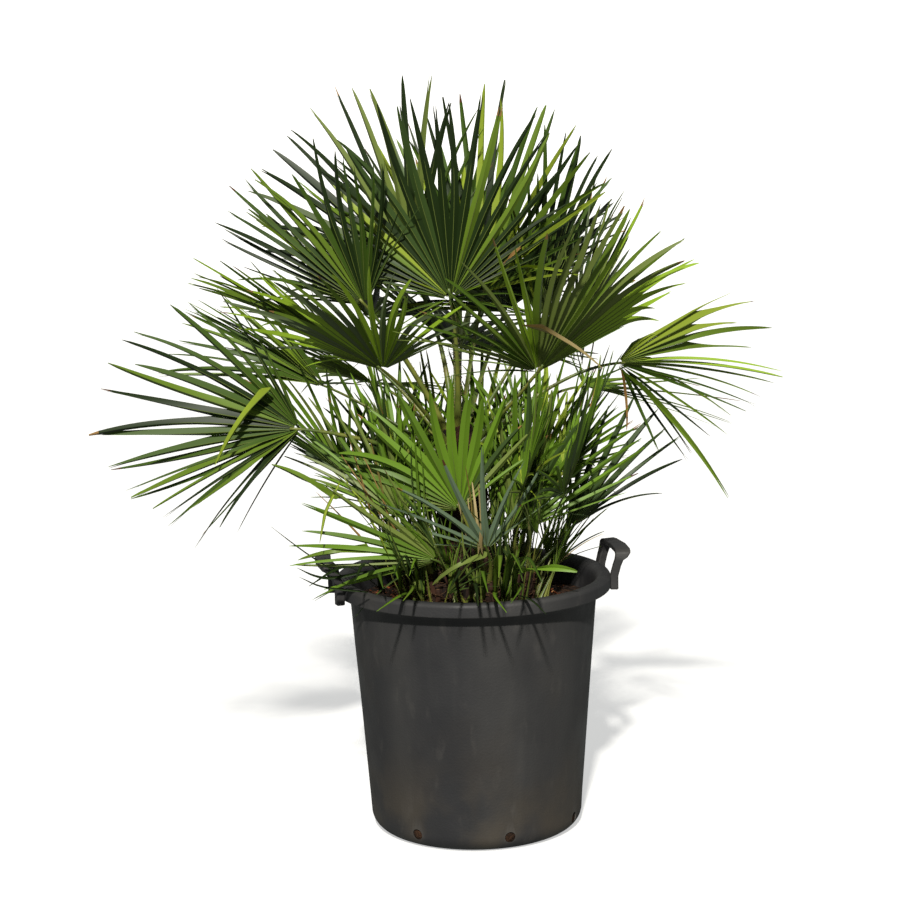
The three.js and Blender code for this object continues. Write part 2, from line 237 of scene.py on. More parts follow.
class Surface:
    # A material whose colours are laid over one another through masks.
    def __init__(self, name, colour, **settings):
        self.material = newMaterial(name, **settings)
        self.tree = self.material.node_tree
        self.inputs = self.tree.nodes["Principled BSDF"].inputs
        self.colour = colour

    def mask(self, group, **values):
        return addNode(self.tree, "Group", values, node_tree=group).outputs["Mask"]

    def patches(self, scale, low, high, detail=5.0, tall=1.0):
        return self.mask(patchMask, Scale=scale, Detail=detail, Low=low, High=high,
                         Stretch=(1.0, 1.0, tall))

    def times(self, mask, factor):
        return addNode(self.tree, "Math", {0: mask, 1: factor}, operation="MULTIPLY").outputs[0]

    def lay(self, colour, mask, strength=None):
        share = self.times(mask, strength) if strength else mask
        sockets = {0: share, 6: self.colour, 7: colour}
        self.colour = addNode(self.tree, "Mix", sockets, data_type="RGBA").outputs[2]

    def finishRelief(self, height, strength, distance):
        self.tree.links.new(self.colour, self.inputs["Base Color"])
        relief = {"Height": height, "Strength": strength, "Distance": distance}
        self.tree.links.new(addNode(self.tree, "Bump", relief).outputs[0], self.inputs["Normal"])
        return self.material


potLook = {
    "plastic": tone(39, 39, 41), "chalk": tone(62, 61, 60), "dust": tone(70, 63, 53),
    "scuff": tone(84, 81, 78), "dustTop": 0.26, "roughLow": 0.48, "roughHigh": 0.72,
    "grain": 0.0006,
}


def makePlastic():
    plastic = Surface("pottedPlastic", potLook["plastic"], Specular_IOR_Level=0.34)
    patches = plastic.patches
    plastic.lay(potLook["chalk"], patches(5.0, 0.42, 0.68, tall=0.35), 0.55)
    plastic.lay(potLook["chalk"], patches(26.0, 0.55, 0.8, tall=0.08), 0.35)
    low = plastic.mask(heightMask, From=0.0, To=potLook["dustTop"])
    plastic.lay(potLook["dust"], plastic.times(low, patches(9.0, 0.38, 0.66)), 0.6)
    plastic.lay(potLook["scuff"], patches(34.0, 0.56, 0.8, detail=8.0, tall=0.4), 0.3)
    plastic.lay(potLook["dust"], patches(7.0, 0.45, 0.7), 0.12)
    plastic.lay(potLook["scuff"], plastic.mask(edgeWear), 0.28)
    rough = addNode(plastic.tree, "MapRange", {
        "Value": patches(12.0, 0.3, 0.7),
        "To Min": potLook["roughLow"], "To Max": potLook["roughHigh"],
    })
    plastic.tree.links.new(rough.outputs[0], plastic.inputs["Roughness"])
    return plastic.finishRelief(patches(220.0, 0.2, 0.8, detail=3.0), 0.35, potLook["grain"])


def makeWoody(name, first, second, fibre, tall=1.0):
    # Bark, chips and dry leaf bases: two colours in long patches with a fibrous relief.
    wood = Surface(name, first, Roughness=0.85, Specular_IOR_Level=0.25)
    fibres = wood.patches(fibre, 0.35, 0.65, detail=6.0, tall=tall)
    wood.lay(second, fibres)
    wood.lay(first, wood.patches(fibre * 0.3, 0.4, 0.7), 0.4)
    return wood.finishRelief(fibres, 0.8, 0.0015)


# Leaf colours are plain, and dealt out leaflet by leaflet. The backlit tone is painted light: a lighter
# green that stands in for sun shining through the leaf.
leafTones = {
    "deep": (29, 43, 16), "mid": (57, 79, 24), "fresh": (89, 112, 33), "lime": (126, 143, 44),
    "young": (76, 103, 26), "bright": (92, 123, 32), "grey": (86, 100, 66), "glaucous": (96, 114, 90),
    "underDeep": (50, 68, 30), "underPale": (98, 112, 52), "underGrey": (80, 92, 62),
    "backlit": (132, 162, 42), "rib": (92, 106, 48), "dry": (130, 100, 58), "tan": (108, 94, 48),
    "brown": (82, 52, 32), "straw": (150, 134, 92),
}
leafMaterials = [
    newMaterial(f"leaf_{name}", Base_Color=tone(*colour), Roughness=0.45, Specular_IOR_Level=0.2)
    for name, colour in leafTones.items()
]
leafSlot = {name: index for index, name in enumerate(leafTones)}
print("materials made")


# Camera

cameraLook = {
    "place": (-0.0417, -4.430, 1.500), "pitch": 9.28, "roll": 1.09, "focalPixels": 2226.0,
    "imagePixels": 900.0, "sensor": 36.0,
}


def makeCamera():
    data = bpy.data.cameras.new("camera")
    data.sensor_width = cameraLook["sensor"]
    data.lens = cameraLook["focalPixels"] / cameraLook["imagePixels"] * cameraLook["sensor"]
    camera = addObject("camera", data)
    down = Matrix.Rotation(radians(90 - cameraLook["pitch"]), 4, "X")
    turn = Matrix.Rotation(radians(-cameraLook["roll"]), 4, "Z")
    camera.matrix_world = Matrix.Translation(cameraLook["place"]) @ down @ turn
    bpy.context.scene.camera = camera


makeCamera()
print("camera set")


# Pot, in millimetres. The wall wavers a little, apart from its foot and its lip.

pot = {
    "wallTop": 252, "wallBottom": 217, "footRound": 35, "lipUnder": 493, "height": 522,
    "lipRadius": 280, "lipRound": 9, "wallThick": 5, "floorThick": 6, "sides": 160,
    "waver": 1.6, "waverFrom": 8, "waverTo": 500, "waverFade": 60, "waveHeight": 160,
    "drainHeight": 31, "drainRadius": 11, "drainSides": 28, "drainLong": 60, "sharp": 35,
    "drainAngles": [-124, -73, -25, 47, 102, 158],
}


def wallRadius(z):
    share = (z - pot["footRound"]) / (pot["lipUnder"] - pot["footRound"])
    return lerp(pot["wallBottom"], pot["wallTop"], share)


def arcPoints(centreR, centreZ, radius, start, end, steps):
    angles = [radians(lerp(start, end, i / steps)) for i in range(steps + 1)]
    return [(centreR + radius * cos(a), centreZ + radius * sin(a)) for a in angles]


def potProfile():
    # Radius and height, from the middle of the underside round the lip to the floor's middle.
    foot, under, top, thick = pot["footRound"], pot["lipUnder"], pot["height"], pot["wallThick"]
    lip, lipRound, floor = pot["lipRadius"], pot["lipRound"], pot["floorThick"]
    inside, flat = wallRadius(under) - thick, pot["wallBottom"] - foot
    return [
        (0, 0), (60, 0), (120, 0),
        *arcPoints(flat, foot, foot, -90, 0, 9),
        *[(wallRadius(z), z) for z in np.linspace(foot, under - 14, 14)[1:]],
        (wallRadius(482) + 0.3, 482), (wallRadius(486) + 2.2, 487), (wallRadius(490) + 6, 491),
        (lip - 5, under + 0.4),
        *arcPoints(lip - 3, under + 3.4, 3, -60, 0, 3),
        (lip - 0.6, 503),
        *arcPoints(lip - lipRound, top - lipRound, lipRound, 0, 90, 7),
        (264, top - 0.3), (257, top - 1.8), (252, top - 6), (inside + 1, top - 14), (inside, under),
        *[(wallRadius(z) - thick, z) for z in (440, 330, 220, 110, foot)],
        *arcPoints(flat, floor + foot - thick, foot - thick, -20, -90, 4),
        (100, floor), (0, floor),
    ]


def makeShell():
    form = bmesh.new()
    sides, fade = pot["sides"], pot["waverFade"]
    rings = []
    for r, z in potProfile():
        if r == 0:
            rings.append([form.verts.new((0, 0, z * mm))] * sides)
            continue
        share = min(1, max(0, z - pot["waverFrom"]) / fade) * min(1, max(0, pot["waverTo"] - z) / fade)
        ring = []
        for a in turnSteps(sides):
            waves = 0.5 - 0.5 * noise.noise(Vector(around(1.6, a, z / pot["waveHeight"])))
            radius = (r - pot["waver"] * share * waves) * mm
            ring.append(form.verts.new(around(radius, a, z * mm)))
        rings.append(ring)
    for lower, upper in zip(rings, rings[1:]):
        for i in range(sides):
            j = (i + 1) % sides
            form.faces.new(list(dict.fromkeys((lower[i], lower[j], upper[j], upper[i]))))
    bmesh.ops.recalc_face_normals(form, faces=form.faces)
    mesh = bpy.data.meshes.new("potShell")
    form.to_mesh(mesh)
    form.free()
    return addObject("potShell", mesh)


def drill(shell):
    # The drain holes are cut through the rounded foot, and the cutters are removed.
    cutters = bpy.data.collections.new("cutters")
    bpy.context.scene.collection.children.link(cutters)
    form = bmesh.new()
    bmesh.ops.create_cone(
        form, cap_ends=True, segments=pot["drainSides"], radius1=pot["drainRadius"] * mm,
        radius2=pot["drainRadius"] * mm, depth=pot["drainLong"] * mm,
    )
    mesh = bpy.data.meshes.new("cutter")
    form.to_mesh(mesh)
    form.free()
    middle = (wallRadius(pot["drainHeight"]) - 8) * mm
    for angle in pot["drainAngles"]:
        cutter = bpy.data.objects.new("cutter", mesh)
        out = Vector(around(1, radians(angle)))
        cutter.matrix_world = (
            Matrix.Translation(out * middle + Vector((0, 0, pot["drainHeight"] * mm)))
            @ out.to_track_quat("Z", "Y").to_matrix().to_4x4()
        )
        cutters.objects.link(cutter)
    cut = shell.modifiers.new("drains", "BOOLEAN")
    cut.operation = "DIFFERENCE"
    cut.operand_type = "COLLECTION"
    cut.collection = cutters
    cut.solver = "EXACT"
    bpy.context.view_layer.update()
    graph = bpy.context.evaluated_depsgraph_get()
    finished = bpy.data.meshes.new_from_object(shell.evaluated_get(graph))
    shell.modifiers.clear()
    shell.data = finished
    for cutter in list(cutters.objects):
        bpy.data.objects.remove(cutter)
    bpy.data.collections.remove(cutters)


def makePot():
    shell = makeShell()
    drill(shell)
    shell.data.materials.clear()
    shell.data.materials.append(potPlastic)
    shell.data.polygons.foreach_set("use_smooth", [True] * len(shell.data.polygons))
    shell.data.set_sharp_from_angle(angle=radians(pot["sharp"]))
    dress(shell, ["pot"])


potPlastic = makePlastic()
makePot()
print("pot made")


# Handles

handle = {
    "angles": {"handle_right": 10, "handle_left": 190}, "halfSpan": 13.5, "foot": 485, "top": 567,
    "deep": 17, "postWide": 17, "gripThick": 13, "flare": 14, "slant": 11, "gap": -1.5,
    "edge": 2.6, "edgeSteps": 3, "edgeAngle": 40, "sharp": 50,
}


def handleStations(inner):
    # Lower left and right edges along the lip, their heights, the lean and the depth.
    half = radians(handle["halfSpan"]) * inner
    edge = -half + handle["postWide"]
    top, under = handle["top"], handle["top"] - handle["gripThick"]
    deep, grip = handle["deep"], handle["deep"] + handle["flare"]
    seat = pot["height"] - pot["lipRound"]
    return [
        ((-half, edge), (handle["foot"], handle["foot"]), 0.0, deep),
        ((-half, edge), (seat, seat), 0.0, deep),
        ((-half - 0.5, edge), (under - 20, under - 20), 0.5, deep),
        ((-half - 1, edge), (under - 8, under - 8), 0.86, deep + 1),
        ((-half - 1, edge + 0.5), (under - 2.5, under - 2.5), 0.95, deep + 8),
        ((-half + 1, edge + 2), (top - 5, under), 1.0, grip),
        ((-half + 7, edge + 6), (top - 1, under + 1.5), 1.0, grip),
        ((-half + 20, edge + 14), (top, under + 2), 1.0, grip),
        ((0, 0), (top, under + 2), 1.0, grip),
    ]


def makeHandle(name, angle):
    inner = pot["lipRadius"] + handle["gap"]
    stations = handleStations(inner)
    sided = [(*station, 1) for station in stations] + [(*station, -1) for station in stations[-2::-1]]
    rings = []
    for (left, right), (high, low), lean, deep, side in sided:
        near = inner + lean * handle["slant"]
        corners = ((left, high, near), (left, high, near + deep), (right, low, near + deep),
                   (right, low, near))
        rings.append([around(radius, radians(angle) + side * along / inner, height)
                      for along, height, radius in corners])
    lists = MeshLists()
    lists.addTube(np.array(rings) * mm, 0)
    piece = makePiece(f"{name}_moulded", lists, [potPlastic], [name])
    form = bmesh.new()
    form.from_mesh(piece.data)
    bmesh.ops.recalc_face_normals(form, faces=form.faces)
    form.to_mesh(piece.data)
    form.free()
    bevel = piece.modifiers.new("rounding", "BEVEL")
    bevel.width = handle["edge"] * mm
    bevel.segments = handle["edgeSteps"]
    bevel.angle_limit = radians(handle["edgeAngle"])
    piece.data.set_sharp_from_angle(angle=radians(handle["sharp"]))


for name, angle in handle["angles"].items():
    makeHandle(name, angle)
print("handles made")


# Compost, in millimetres

soil = {
    "top": 470, "wave": 7, "waveScale": 14, "rings": 46, "sides": 120, "deep": 40, "middle": 0.6,
    "plug": (9, 3.2), "chips": 620, "chipLong": (3.5, 13), "chipDark": 0.6, "chipRed": 0.8, "clear": 10,
}
soilLook = {
    "dark": tone(24, 17, 13), "brown": tone(62, 42, 28), "chipDark": tone(58, 36, 24),
    "chipRed": tone(158, 84, 42), "chipPale": tone(186, 140, 94), "chipFibre": 90.0,
}


def makeSoilMaterial():
    loose = Surface("looseCompost", soilLook["dark"], Roughness=0.95, Specular_IOR_Level=0.2)
    loose.lay(soilLook["brown"], loose.patches(60.0, 0.35, 0.65, detail=8.0))
    return loose.finishRelief(loose.patches(160.0, 0.2, 0.8, detail=8.0), 0.9, 0.004)


def soilHeight(x, y):
    place = Vector((x * soil["waveScale"], y * soil["waveScale"], 0.3))
    waves = noise.noise(place) + 0.5 * noise.noise(place * 3.1) + 0.3 * noise.noise(place * 9.7)
    return (soil["top"] - 3 + soil["wave"] * waves) * mm


def makeSoil():
    outer = (wallRadius(soil["top"]) - pot["wallThick"] - 0.4) * mm
    angles, middle = turnSteps(soil["sides"]), soil["middle"] * mm
    rows = []
    for i in range(soil["rings"] + 1):
        flat = [around(max(outer * i / soil["rings"], middle), a) for a in angles]
        rows.append([(x, y, soilHeight(x, y)) for x, y, _ in flat])
    for radius in (outer * 0.99, middle):
        rows.append([around(radius, a, (soil["top"] - soil["deep"]) * mm) for a in angles])
    lists = MeshLists()
    lists.addTube(np.array(rows), 0)
    for angle in pot["drainAngles"]:
        addPlug(lists, radians(angle))
    makePiece("compost", lists, [makeSoilMaterial()], ["soil"])


def addPlug(lists, angle):
    # Compost that shows in a drain hole.
    out = np.array(around(1, angle))
    side = np.cross(upward, out)
    outer, radius = wallRadius(pot["drainHeight"]), pot["drainRadius"] - 0.2
    rows = []
    for deep in soil["plug"]:
        centre = out * (outer - deep) + upward * pot["drainHeight"]
        rows.append([centre + (side * cos(a) + upward * sin(a)) * radius
                     for a in turnSteps(20)])
    lists.addTube(np.array(rows) * mm, 0)


def addChip(lists, random, centre, size, slot):
    # A flattened, broken-edged chip of bark.
    turn = np.array(Euler((random(-0.5, 0.5), random(-0.5, 0.5), random(0, 6.3))).to_matrix())
    corners = []
    for level, shrink in ((-1, 0.75), (-0.3, 1.0), (0.4, 0.92), (1, 0.6)):
        ring = []
        for a in turnSteps(7):
            x, y, z = around(size * shrink * random(0.75, 1.1), a, level * size * 0.16)
            ring.append((x, y * 0.5, z))
        corners.append(ring)
    lists.addTube(np.array(corners) @ turn.T + centre, slot)


def makeChips():
    random = makeRandom(seeds["chips"])
    lists = MeshLists()
    outer = (wallRadius(soil["top"]) - pot["wallThick"] - soil["clear"]) * mm
    for _ in range(soil["chips"]):
        x, y = around(outer * sqrt(random()), random(0, fullTurn))[:2]
        size = lerp(*soil["chipLong"], random() ** 2) * mm
        slot = 0 if random() < soil["chipDark"] else (1 if random() < soil["chipRed"] else 2)
        centre = np.array([x, y, soilHeight(x, y) + size * 0.15])
        addChip(lists, random, centre, size, slot)
    materials = [
        makeWoody(name, soilLook[first], soilLook[second], soilLook["chipFibre"])
        for name, first, second in (
            ("barkChipDark", "dark", "chipDark"), ("barkChipRed", "chipDark", "chipRed"),
            ("barkChipPale", "chipRed", "chipPale"),
        )
    ]
    makePiece("barkChips", lists, materials, ["soil"], smooth=False)


makeSoil()
makeChips()
print("compost made")


# Stems with old leaf bases and fibre, in millimetres

trunk = {
    "foot": (-10, 4), "crown": (-26, 0, 830), "bases": 74, "baseWide": 52, "baseLong": 92,
    "fibres": 420,
    "rings": [(0, 64), (0.08, 55.7), (0.3, 47), (0.62, 45.1), (0.85, 40), (0.95, 30), (1, 16)],
}
offsetBark = {"bases": 13, "baseWide": 26, "baseLong": 34, "fibres": 60}
offsetTaper = [(0, 1.15), (0.35, 1), (0.75, 0.9), (1, 0.5)]
# Foot, crown, radius and the headings of the fronds that the seeded rule adds.
offsetStems = {
    name: {
        "foot": foot, "crown": crown, "radius": radius, "extra": extra, **offsetBark,
        "rings": [(share, radius * part) for share, part in offsetTaper],
    }
    for name, foot, crown, radius, extra in [
        ("stem_front_left", (-66, -88), (-75, -95, 548), 21, [150]),
        ("stem_front", (26, -108), (30, -120, 540), 20, [318, 10]),
        ("stem_right", (94, -52), (105, -60, 546), 22, [312, 75]),
        ("stem_left", (-112, 14), (-125, 15, 552), 21, [110, 180, 225]),
        ("stem_back_right", (86, 66), (95, 75, 548), 22, [-25, 38, 100]),
        ("stem_back", (-26, 98), (-30, 110, 544), 21, [50, 110, 170]),
    ]
}
barkLook = {
    "sides": 28, "goldenAngle": 137.5, "scatter": 14, "topBase": 0.82, "lean": (2, 9), "shrink": 0.72,
    "pale": 0.6,
}


def stemPoint(stem, share, radius, angle):
    foot, crown = stem["foot"], stem["crown"]
    x, y, _ = around(radius, angle)
    return np.array([
        lerp(foot[0], crown[0], share) + x, lerp(foot[1], crown[1], share) + y,
        lerp(soil["top"] - 8, crown[2], share),
    ]) * mm


def stemRadius(stem, share):
    shares, radii = zip(*stem["rings"])
    return float(np.interp(share, shares, radii))


def addStemCore(lists, stem):
    angles = turnSteps(barkLook["sides"])
    lists.addTube(np.array([
        [stemPoint(stem, share, stemRadius(stem, share) * 0.94, a) for a in angles]
        for share in np.linspace(0, 1, 14)
    ]), 0)


def addLeafBase(lists, stem, share, angle, wide, long, lean, slot):
    # A cut leaf base: a thick strap, broad where it clasps the stem, that leans off it upwards.
    height = stem["crown"][2] - soil["top"]
    body = []
    for t in np.linspace(0, 1, 7):
        at = min(1.0, share + t * long / height)
        half = wide * lerp(1, 0.34, t ** 0.7) / 2
        radius = stemRadius(stem, at) * 0.97 + lean * t ** 1.5
        thick = lerp(1.5, 5.0, t) * (0.75 if t == 1 else 1)
        outer, inner = [], []
        for across in np.linspace(-1, 1, 5):
            a = angle + across * half / max(radius, 12)
            crest = thick * (1 - across * across) ** 0.5
            outer.append(stemPoint(stem, at, radius + crest, a))
            inner.append(stemPoint(stem, at, radius - 1.2, a))
        body.append(outer + inner[::-1])
    lists.addTube(np.array(body), slot, endSlot=2)


def addFibre(lists, stem, random):
    # A thin strand that wraps part of the way round the stem.
    share, angle = random() ** 0.8 * 0.9, random(0, fullTurn)
    climb, wrap, proud, wide = random(-0.04, 0.13), random(-1.1, 1.1), random(1.5, 7.0), random(0.4, 0.9)
    steps = 6
    grid = []
    for i in range(steps + 1):
        t = i / steps
        at = min(1.0, max(0.02, share + climb * t))
        radius = stemRadius(stem, at) + proud + 3 * sin(t * 3.1)
        centre = stemPoint(stem, at, radius, angle + wrap * t)
        grid.append([centre + upward * wide * mm, centre - upward * wide * mm,
                     stemPoint(stem, at, radius + wide, angle + wrap * t)])
    lists.addGrid(np.array(grid), 3, closed=True)


def makeStem(name, stem, seed):
    random = makeRandom(seed)
    lists = MeshLists()
    addStemCore(lists, stem)
    for i in range(stem["bases"]):
        share = barkLook["topBase"] * (i + 0.3) / stem["bases"]
        turned = random(-barkLook["scatter"], barkLook["scatter"])
        angle = radians(barkLook["goldenAngle"] * i + turned)
        grow = random(0.8, 1.1)
        wide = stem["baseWide"] * grow * lerp(1, barkLook["shrink"], share)
        lean = random(*barkLook["lean"]) * stem["baseLong"] / trunk["baseLong"]
        slot = 1 if random() < barkLook["pale"] else 0
        addLeafBase(lists, stem, share, angle, wide, stem["baseLong"] * grow, lean, slot)
    for _ in range(stem["fibres"]):
        addFibre(lists, stem, random)
    makePiece(f"{name}_fibrous", lists, barkMaterials, [name])


barkMaterials = [
    makeWoody("fibrousBark", tone(22, 15, 11), tone(54, 34, 23), 70.0, 0.12),
    makeWoody("leafBase", tone(30, 18, 12), tone(62, 37, 23), 60.0, 0.15),
    makeWoody("cutLeafBase", tone(84, 60, 40), tone(136, 104, 70), 120.0),
    makeWoody("stemFibre", tone(50, 34, 22), tone(100, 72, 46), 140.0, 0.3),
]
makeStem("trunk", trunk, seeds["trunk"])
for index, (name, stem) in enumerate(offsetStems.items()):
    makeStem(name, stem, seeds["stems"] + index)
print("stems made")


# Fronds, by the rule of the part's source carried to finer leaflets. Angles in degrees, sizes in
# millimetres. Each has a lean (heading, lift and length from crown to hub), an aim (the middle
# leaflet's heading and lift with the turn of the blade's face), a reach and half of its spread.

crownFronds = [
    ("front_top", (265, 69, 280), (227, 75, 37), 420, 80),
    ("left_top", (132, 67, 307), (175, 57, 74), 428, 70),
    ("left_upper", (199, 53, 310), (201, 47, 44), 368, 66),
    ("front_left", (230, 31, 257), (223, 32, 11), 352, 92),
    ("left_low", (200, 2, 328), (184, 4, 72), 428, 68),
    ("left_back_low", (162, 14, 301), (142, 10, 29), 330, 75),
    ("front_right", (316, 29, 250), (315, 47, -5), 408, 90),
    ("right_upper", (20, 49, 270), (28, 58, -53), 405, 66),
    ("right_low", (6, 19, 345), (353, 2, -49), 350, 50),
    ("back_top", (55, 68, 275), (38, 71, 11), 418, 80),
    ("right_mid", (26, 32, 323), (46, 34, -68), 320, 70),
    ("back_left_top", (92, 52, 320), (95, 50, 22), 400, 92),
    ("back_left_mid", (138, 40, 310), (140, 30, 22), 380, 92),
    ("back_right_mid", (66, 38, 325), (70, 30, -18), 380, 92),
    ("back_low", (88, 20, 330), (88, 6, 20), 370, 92),
    ("back_left_low", (122, 8, 330), (122, -4, 20), 350, 92),
    ("back_right_low", (35, 8, 330), (32, -6, 20), 350, 92),
    ("left_back_mid", (155, 30, 320), (155, 14, 20), 350, 92),
]
offsetFronds = [
    ("offset_front_fan", "stem_front", (216, 65, 158), (211, 59, 49), 290, 82),
    ("offset_front_low", "stem_front", (267, 45, 100), (236, 47, 27), 250, 85),
    ("offset_right_fan", "stem_right", (252, 53, 105), (324, 58, -51), 340, 56),
    ("offset_right_low", "stem_right", (17, 36, 121), (344, 53, -57), 318, 38),
    ("offset_left_low", "stem_front_left", (273, 25, 94), (195, 17, 69), 290, 55),
    ("offset_left_fan", "stem_front_left", (205, 58, 135), (191, 59, 56), 268, 60),
]
bladeShape = {"cup": 8, "fold": 12, "sag": 0.06, "joinFall": 0.65}
# How single leaflets differ: the shares of torn, dry, short and withered ones, and of those in a
# web that take its tone. Broken ones have a share and the furthest joint that they break at.
leafletLook = {
    "torn": 0.45, "dry": 0.5, "short": 0.1, "withered": 0.012, "webTinted": 0.75, "webFree": 0.3,
    "broken": (0.012, 0.5), "thinBroken": (0.3, 0.3), "thinJoin": 0.4, "start": 0.03, "ribEnd": 0.72,
}
# How the fans look, by the kind of frond. The numbers after the tones are their shares.
fanLook = {
    "crown": dict(
        step=6.4, join=0.43, pleat=42, tipPleat=47, roll=28, swerve=0.07, lift=0.075, droop=0.035,
        slim=(0.8, 1.1), shrink=0.35, stalkWide=12, stalkOut=12, stalkSunk=95, rib=1.0,
        tones=dict(deep=5, mid=4, fresh=2.5, lime=1.2),
        under=dict(underDeep=3, underPale=2, underGrey=1.5),
    ),
    "offset": dict(
        step=8.4, join=0.32, pleat=36, tipPleat=38, roll=36, swerve=0.08, lift=0.09, droop=0.05,
        slim=(0.85, 1.15), shrink=0.35, stalkWide=9, stalkOut=5, stalkSunk=30, rib=0.8,
        tones=dict(mid=1, fresh=2, young=4, bright=4, lime=2),
        under=dict(underDeep=1, underPale=2, young=3, bright=2),
    ),
    "sucker": dict(
        step=8.5, join=0.22, pleat=38, tipPleat=40, roll=45, swerve=0.16, lift=0.16, droop=0.08,
        slim=(0.8, 1.0), shrink=0.35, stalkWide=5, rib=0.6,
        tones=dict(mid=3, fresh=3, young=4, straw=0.5),
        under=dict(underDeep=2, underPale=2, young=2),
    ),
}
# What single fronds have otherwise. Stretches of a blade go from -1 to 1 across it. In a web the
# leaflets stay joined further out, in a thin stretch they are narrow and hang, and a bare one has
# lost them.
# Many undersides in shade, and the web of front_right, take the backlit tone: painted light that stands
# in for sun shining through the leaf.
ownLooks = dict(
    front_top=dict(
        tones=dict(deep=6, mid=3, lime=1.5), under=dict(deep=8, underDeep=3, fresh=1.5, lime=1),
    ),
    left_top=dict(
        tones=dict(grey=4, mid=2, fresh=2), under=dict(underPale=3, underGrey=2, deep=4, mid=1),
        long=1.04,
    ),
    front_left=dict(tones=dict(mid=4, fresh=4, grey=2), under=dict(backlit=4, fresh=3, grey=3)),
    front_right=dict(
        tones=dict(deep=3, mid=4, fresh=4), under=dict(young=2, fresh=3, underPale=3, backlit=2),
        web=(-0.92, -0.5), webTone="backlit", shrink=0.18, long=1.03,
    ),
    right_low=dict(
        tones=dict(deep=2, fresh=3, lime=3), under=dict(backlit=2, fresh=2, lime=2),
        web=(0.38, 0.72), webTone="lime", thin=(-1.0, 0.25), bare=(0.8, 1.1),
    ),
    right_upper=dict(tones=dict(fresh=3, lime=2, mid=2), under=dict(deep=3, mid=3, lime=1)),
    right_mid=dict(tones=dict(fresh=3, lime=2, mid=3)),
    back_top=dict(tones=dict(fresh=3, lime=3, mid=3, deep=2), long=1.03),
    left_low=dict(
        tones=dict(deep=4, mid=4, fresh=2), under=dict(mid=3, deep=3, fresh=1), step=7.0, join=0.38,
        swerve=0.1, thin=(0.72, 1.1),
    ),
    left_upper=dict(
        tones=dict(deep=3, mid=4, fresh=2), under=dict(deep=4, mid=3, underDeep=2, fresh=1),
    ),
    left_back_low=dict(
        tones=dict(mid=3, fresh=2), under=dict(backlit=1, young=3, mid=3), step=6.8, join=0.3,
        long=1.08,
    ),
    left_back_mid=dict(under=dict(backlit=1, fresh=2, mid=3), join=0.34),
    back_left_mid=dict(under=dict(backlit=3, underPale=2)),
    back_left_top=dict(under=dict(underPale=3, backlit=2, underDeep=1)),
    back_left_low=dict(under=dict(backlit=4, fresh=1), join=0.32),
    back_low=dict(under=dict(backlit=3, fresh=2)),
    back_right_low=dict(
        tones=dict(fresh=3, mid=2), under=dict(backlit=1, fresh=3), step=16, join=0.14,
        slim=(0.32, 0.46), swerve=0.13,
    ),
    offset_front_fan=dict(
        tones=dict(bright=5, young=2), slim=(1.0, 1.2), pleat=30, tipPleat=28, join=0.42, roll=16,
        step=9.4,
    ),
    offset_front_low=dict(
        tones=dict(glaucous=1), under=dict(glaucous=1), step=19, join=0.22, pleat=20, tipPleat=22,
        slim=(0.7, 0.9),
    ),
    offset_right_low=dict(tones=dict(deep=5, mid=1), under=dict(underDeep=3, deep=2)),
)


class Frond:
    # A blade by its hub, aim, reach and half of its spread, and the foot of its stalk.
    def __init__(self, look, hub, aim, reach, spread, foot=None):
        self.look, self.hub, self.reach, self.foot = look, hub, reach, foot
        self.half = radians(spread)
        self.along = direction(*aim[:2])
        face = unit(upward - self.along * upward.dot(self.along))
        turn = radians(aim[2])
        self.face = face * cos(turn) + np.cross(self.along, face) * sin(turn)
        self.across = np.cross(self.along, self.face)

    def points(self, angle, distance, aside, out):
        # Points of the blade: angle from the middle leaflet, distance from the hub, and small
        # shifts across the leaflet and out of the face.
        angle, distance, aside, out = np.broadcast_arrays(angle, distance, aside, out)
        rise = np.radians(bladeShape["cup"] + bladeShape["fold"] * (angle / self.half) ** 2)
        cosine, sine = np.cos(angle)[..., None], np.sin(angle)[..., None]
        ray = self.along * cosine + self.across * sine
        side = self.across * cosine - self.along * sine
        path = ray * np.cos(rise)[..., None] + self.face * np.sin(rise)[..., None]
        level = np.sqrt(np.maximum(0, 1 - path[..., 2] ** 2))
        points = self.hub + path * distance[..., None] + side * aside[..., None]
        points = points + self.face * out[..., None]
        points[..., 2] -= bladeShape["sag"] * self.reach * (distance / self.reach) ** 2.2 * level
        return points


def makeFrond(name, stem, lean, aim, reach, spread):
    kind, values = ("crown", trunk) if stem == "trunk" else ("offset", offsetStems[stem])
    look = {**fanLook[kind], **ownLooks.get(name, {})}
    heading, lift, length = lean
    crown = np.array(values["crown"])
    foot = crown + direction(heading, 0) * look["stalkOut"]
    foot[2] -= look["stalkSunk"] * (1 - lift / 90)
    frond = Frond(look, crown + direction(heading, lift) * length, aim, reach, spread, foot)
    frond.name, frond.kind = name, kind
    return frond


def frondList():
    fronds = [makeFrond(name, "trunk", *values) for name, *values in crownFronds]
    fronds += [makeFrond(*values) for values in offsetFronds]
    random = makeRandom(seeds["offsets"])
    for stem, values in offsetStems.items():
        for i, heading in enumerate(values["extra"]):
            lift = random(50, 72)
            lean = (heading, lift, random(130, 220))
            aim = (heading + random(-12, 12), lift + 8 - random(0, 12), random(15, 40))
            name = f"{stem.replace('stem', 'offset')}_{i + 1}"
            fronds.append(makeFrond(name, stem, lean, aim, random(240, 300), random(72, 84)))
    return fronds


def isWithin(look, stretch, share):
    low, high = look.get(stretch, (2, 2))
    return low <= share <= high


def pick(random, weights):
    mark = random() * sum(weights.values())
    for name, weight in weights.items():
        mark -= weight
        if mark <= 0:
            break
    return leafSlot[name]


